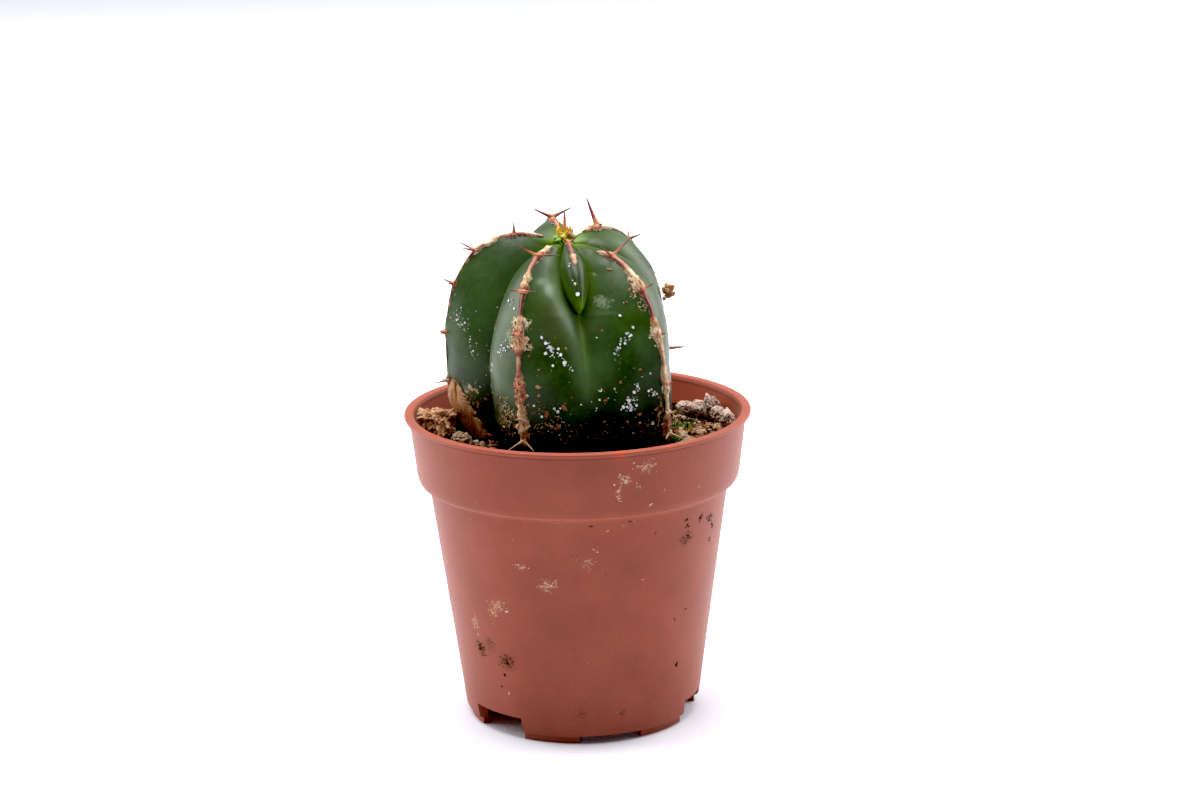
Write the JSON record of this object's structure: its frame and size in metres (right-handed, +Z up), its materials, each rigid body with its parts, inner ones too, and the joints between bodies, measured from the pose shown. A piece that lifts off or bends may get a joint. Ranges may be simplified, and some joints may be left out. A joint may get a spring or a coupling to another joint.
{
  "type": "potted euphorbia",
  "caption": "Small ribbed succulent with horny, spined rib margins, standing in potting mix with pumice and bark in a tapered moulded nursery pot with a flared rim.",
  "frame": {"origin": "middle of the circle that the pot's feet stand on", "axes": "+Z up along the pot's axis; -Y is the front, from which the young rib shows between two large ribs"},
  "size_m": [0.055, 0.055, 0.0818],
  "materials": {
    "pot_plastic": "satin",
    "potting_mix": "matte",
    "stem_skin": "satin",
    "rib_horn": "matte",
    "young_growth": "satin",
    "bark": "matte",
    "pumice": "matte"
  },
  "bodies": {
    "root": {"pot": "pot_plastic", "soil": "potting_mix", "stem": "stem_skin", "rib_margin_a": "rib_horn", "rib_margin_b": "rib_horn", "rib_margin_c": "rib_horn", "rib_margin_d": "rib_horn", "rib_margin_e": "rib_horn", "rib_margin_young": "rib_horn", "growing_tip": "young_growth", "cork_flake": "bark", "bark_chip": "bark", "stuck_crumb": "bark", "pumice_heap": "pumice", "pumice_left": "pumice", "pumice_right": "pumice"}
  },
  "joints": []
}
